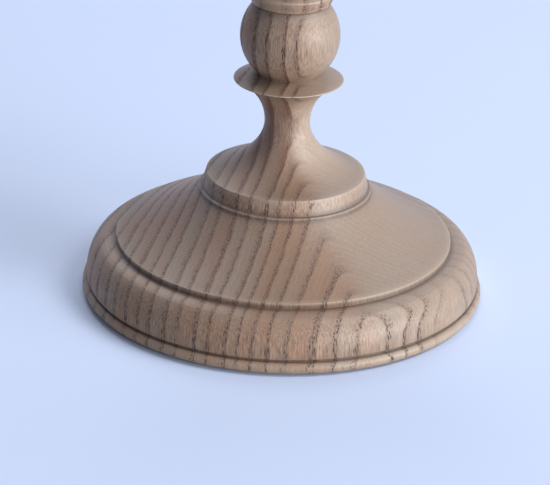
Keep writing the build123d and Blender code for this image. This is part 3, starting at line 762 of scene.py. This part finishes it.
class StandStage(bpy.types.PropertyGroup):
    """Floor and light."""
    floor: bpy.props.FloatVectorProperty(
        name="Floor", description="Plain pale floor", default=linear("#D2E0FF"), **COLOUR)
    floor_glow: bpy.props.FloatProperty(
        name="Floor glow", description="Strength of the floor's own light, where it is seen",
        default=0.95, min=0, max=1)
    shadow_lift: bpy.props.FloatProperty(
        name="Shadow lift", description="How much of the floor that is seen shines by itself, which keeps shadows pale",
        default=0.3, **SHARE)
    bounce: bpy.props.FloatVectorProperty(
        name="Floor's light", description="Colour of the light that the floor throws on the stand",
        default=linear("#E0DAD4"), **COLOUR)
    sky: bpy.props.FloatVectorProperty(
        name="Room light", description="Soft light from all round", default=linear("#DCE3F0"), **COLOUR)
    room: bpy.props.FloatProperty(
        name="Room strength", description="Strength of the light from all round", default=0.1, min=0, max=2)
    window: bpy.props.FloatProperty(
        name="Window power", description="Power of the low soft light at the front right", default=22.2, **POWER)
    fill: bpy.props.FloatProperty(
        name="Fill power", description="Power of the soft light above the window", default=8.4, **POWER)
    back: bpy.props.FloatProperty(
        name="Back power", description="Power of the soft light behind", default=7.6, **POWER)


# Operators

class STAND_OT_turn_wood(bpy.types.Operator):
    """Turns the foot, the stem and the pan in ash"""
    bl_idname = "stand.turn_wood"
    bl_label = "Turn the wood"

    def execute(self, context):
        foot = oiled_ash("oiled_ash_foot", turn=(0, 0, 0), shift=(0, 0, 0))
        stem = oiled_ash("oiled_ash_stem", turn=(0, 0, math.radians(140)), shift=(-14, 3, 40))
        pan = oiled_ash("oiled_ash_pan", turn=(0, math.radians(90), 0), shift=(-150, -22, 7))
        # The knop's top, under the collar's overhang, gets painted shade along the joint.
        turned_piece("ash_foot", foot_outline(), foot, "turned_foot", "stand",
                     joints=[(KNOP_TOP_RADIUS, KNOP_TOP)])
        turned_piece("ash_stem", stem_outline(), stem, "upper_stem", "stand")
        turned_piece("ash_pan", pan_outline(), pan, "wax_pan", "stand")
        return {"FINISHED"}


class STAND_OT_spin_liner(bpy.types.Operator):
    """Spins the loose brass liner"""
    bl_idname = "stand.spin_liner"
    bl_label = "Spin the liner"

    def execute(self, context):
        look = context.scene.stand_fittings
        brass = turned_metal("spun_brass", look.brass, look.tarnish, roughness=0.3, pitch=0.5, depth=0.02)
        turned_piece("brass_liner", liner_outline(), brass, "drip_liner", "liner")
        return {"FINISHED"}


class STAND_OT_turn_spike(bpy.types.Operator):
    """Turns the steel spike"""
    bl_idname = "stand.turn_spike"
    bl_label = "Turn the spike"

    def execute(self, context):
        look = context.scene.stand_fittings
        steel = turned_metal("turned_steel", look.steel, look.steel_film, roughness=0.32, pitch=0.35, depth=0.015)
        turned_piece("steel_spike", spike_outline(), steel, "pricket", "stand")
        return {"FINISHED"}


class STAND_OT_fit_brass(bpy.types.Operator):
    """Fits the brass washer and finishes the insert"""
    bl_idname = "stand.fit_brass"
    bl_label = "Fit the brass"

    def execute(self, context):
        look = context.scene.stand_fittings
        brass = turned_metal("machined_brass", look.fitting, look.tarnish, roughness=0.34, pitch=0.3, depth=0.02)
        washer = ring_outline(WASHER_HOLE_RADIUS, WASHER_RADIUS, RECESS_FLOOR, WASHER_TOP)
        turned_piece("brass_washer", washer, brass, "pricket_washer", "stand")
        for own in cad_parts["pricket_insert"].material_slots:
            own.material = brass
        return {"FINISHED"}


class STAND_OT_lay_pad(bpy.types.Operator):
    """Lays the cork pad in the foot's recess"""
    bl_idname = "stand.lay_pad"
    bl_label = "Lay the pad"

    def execute(self, context):
        pad = disc_outline(PAD_RADIUS, 0, PAD_THICKNESS)
        turned_piece("cork_pad", pad, pressed_cork("pressed_cork"), "base_pad", "stand")
        return {"FINISHED"}


def seen_directly(tree):
    """1 where the camera, a gloss or a clear piece sees the stage, 0 where the stage only lights the stand."""
    ray = add(tree, "ShaderNodeLightPath").outputs
    direct = add(tree, "ShaderNodeMath", (ray["Is Camera Ray"], ray["Is Glossy Ray"]), operation="MAXIMUM")
    return add(tree, "ShaderNodeMath", (direct, ray["Is Transmission Ray"]), operation="MAXIMUM")


def pale_floor(look):
    """Plain pale paper, matt and faintly clouded.

    Where it is seen it shines a little by itself so that shadows stay pale, but not next to the foot, whose own shadow
    stays dark. Far away it only shines, and so runs into the backdrop.
    """
    material, tree, mm = new_material("pale_floor")
    cloud = add(tree, "ShaderNodeTexNoise", {"Vector": mm, "Scale": FLOOR_CLOUD, "Detail": 2.0})
    shade = add(tree, "ShaderNodeMapRange", (cloud.outputs["Fac"], *WHOLE, *FLOOR_SHADE))
    seen = seen_directly(tree)
    colour = add(tree, "ShaderNodeMix", {0: seen, 6: look.bounce, 7: look.floor}, data_type="RGBA")
    colour = add(tree, "ShaderNodeVectorMath", {0: colour, "Scale": shade}, operation="SCALE")
    surface = add(tree, "ShaderNodeBsdfPrincipled", {
        "Base Color": colour, "Roughness": FLOOR_ROUGHNESS, "Specular IOR Level": FLOOR_SPECULAR})
    glow = add(tree, "ShaderNodeEmission", {"Color": look.floor, "Strength": look.floor_glow})
    away = add(tree, "ShaderNodeVectorMath", (mm,), operation="LENGTH").outputs["Value"]
    lift = add(tree, "ShaderNodeMapRange", (away, *LIFT_EDGE, 0.0, look.shadow_lift))
    far = add(tree, "ShaderNodeMapRange", (away, *FAR_FLOOR), interpolation_type="SMOOTHSTEP")
    lift = add(tree, "ShaderNodeMath", (lift, far), operation="MAXIMUM")
    lift = add(tree, "ShaderNodeMath", (seen, lift), operation="MULTIPLY")
    both = add(tree, "ShaderNodeMixShader", (lift, surface, glow))
    add(tree, "ShaderNodeOutputMaterial", {"Surface": both})
    return material


class STAND_OT_set_stage(bpy.types.Operator):
    """Sets the floor, the light and the camera"""
    bl_idname = "stand.set_stage"
    bl_label = "Set the stage"

    def execute(self, context):
        look = context.scene.stand_stage
        scene = context.scene
        scene.view_settings.view_transform = "Standard"

        # The floor is a little below the pad so that the two never share a plane.
        mesh = bpy.data.meshes.new("floor")
        corners = [(-1, -1), (1, -1), (1, 1), (-1, 1)]
        mesh.from_pydata([(x * FLOOR_HALF, y * FLOOR_HALF, -FLOOR_DROP) for x, y in corners], [], [(0, 1, 2, 3)])
        floor = bpy.data.objects.new("floor", mesh)
        scene.collection.objects.link(floor)
        mesh.materials.append(pale_floor(look))

        # Room light all round, and a plain pale backdrop where the camera or a gloss sees past the floor.
        world = bpy.data.worlds.new("room")
        world.use_nodes = True
        tree = world.node_tree
        tree.nodes.clear()
        light = add(tree, "ShaderNodeBackground", {"Color": look.sky, "Strength": look.room})
        seen = add(tree, "ShaderNodeBackground", {"Color": look.floor, "Strength": look.floor_glow})
        both = add(tree, "ShaderNodeMixShader", (seen_directly(tree), light, seen))
        add(tree, "ShaderNodeOutputWorld", {"Surface": both})
        scene.world = world

        # A low wide window at the front right, a fill above it, and a high soft light behind.
        for name, (wide, tall, turn, rise, tint) in LAMPS.items():
            lamp = bpy.data.lights.new(f"{name}_light", "AREA")
            lamp.shape, lamp.size, lamp.size_y = "RECTANGLE", wide, tall
            lamp.energy, lamp.color = getattr(look, name), tint
            holder = bpy.data.objects.new(f"{name}_light", lamp)
            turn, rise = math.radians(turn), math.radians(rise)
            aim = Vector((math.cos(rise) * math.cos(turn), math.cos(rise) * math.sin(turn), math.sin(rise)))
            holder.location = aim * LAMP_AWAY + Vector(LAMP_AIM)
            holder.rotation_euler = aim.to_track_quat("Z", "Y").to_euler()
            holder.visible_camera = False
            scene.collection.objects.link(holder)

        eye = bpy.data.cameras.new("eye")
        eye.sensor_fit, eye.sensor_width, eye.lens = "HORIZONTAL", EYE_SENSOR, EYE_LENS
        eye.clip_start, eye.clip_end = EYE_CLIP
        holder = bpy.data.objects.new("eye", eye)
        turn = Matrix.Rotation(math.radians(EYE_YAW), 4, "Z")
        turn = turn @ Matrix.Rotation(math.radians(90 - EYE_DOWN), 4, "X")
        turn = turn @ Matrix.Rotation(math.radians(EYE_ROLL), 4, "Z")
        holder.matrix_world = Matrix.Translation(EYE_PLACE) @ turn
        scene.collection.objects.link(holder)
        scene.camera = holder
        return {"FINISHED"}


class STAND_PT_sidebar(bpy.types.Panel):
    """Sizes, looks and steps of the stand"""
    bl_idname = "STAND_PT_sidebar"
    bl_label = "Candle stand"
    bl_space_type = "VIEW_3D"
    bl_region_type = "UI"
    bl_category = "Stand"

    def draw(self, context):
        for group in (context.scene.stand_sizes, context.scene.stand_ash, context.scene.stand_fittings,
                      context.scene.stand_stage):
            box = self.layout.box()
            for name in group.__annotations__:
                box.prop(group, name)
        for step in STEPS:
            self.layout.operator(step.bl_idname)


STEPS = (STAND_OT_turn_wood, STAND_OT_spin_liner, STAND_OT_turn_spike, STAND_OT_fit_brass, STAND_OT_lay_pad,
         STAND_OT_set_stage)
GROUPS = {"stand_sizes": StandSizes, "stand_ash": StandAsh, "stand_fittings": StandFittings,
          "stand_stage": StandStage}


def register():
    """Adds the properties, the steps and the sidebar."""
    for kind in (*GROUPS.values(), *STEPS, STAND_PT_sidebar):
        bpy.utils.register_class(kind)
    for name, kind in GROUPS.items():
        setattr(bpy.types.Scene, name, bpy.props.PointerProperty(type=kind))


def unregister():
    """Takes them out again."""
    for name in GROUPS:
        delattr(bpy.types.Scene, name)
    for kind in (STAND_PT_sidebar, *STEPS[::-1], *list(GROUPS.values())[::-1]):
        bpy.utils.unregister_class(kind)


def main():
    """Makes every piece and the stage."""
    register()
    bpy.ops.stand.turn_wood()
    bpy.ops.stand.spin_liner()
    bpy.ops.stand.turn_spike()
    bpy.ops.stand.fit_brass()
    bpy.ops.stand.lay_pad()
    bpy.ops.stand.set_stage()


if __name__ == "__main__":
    main()
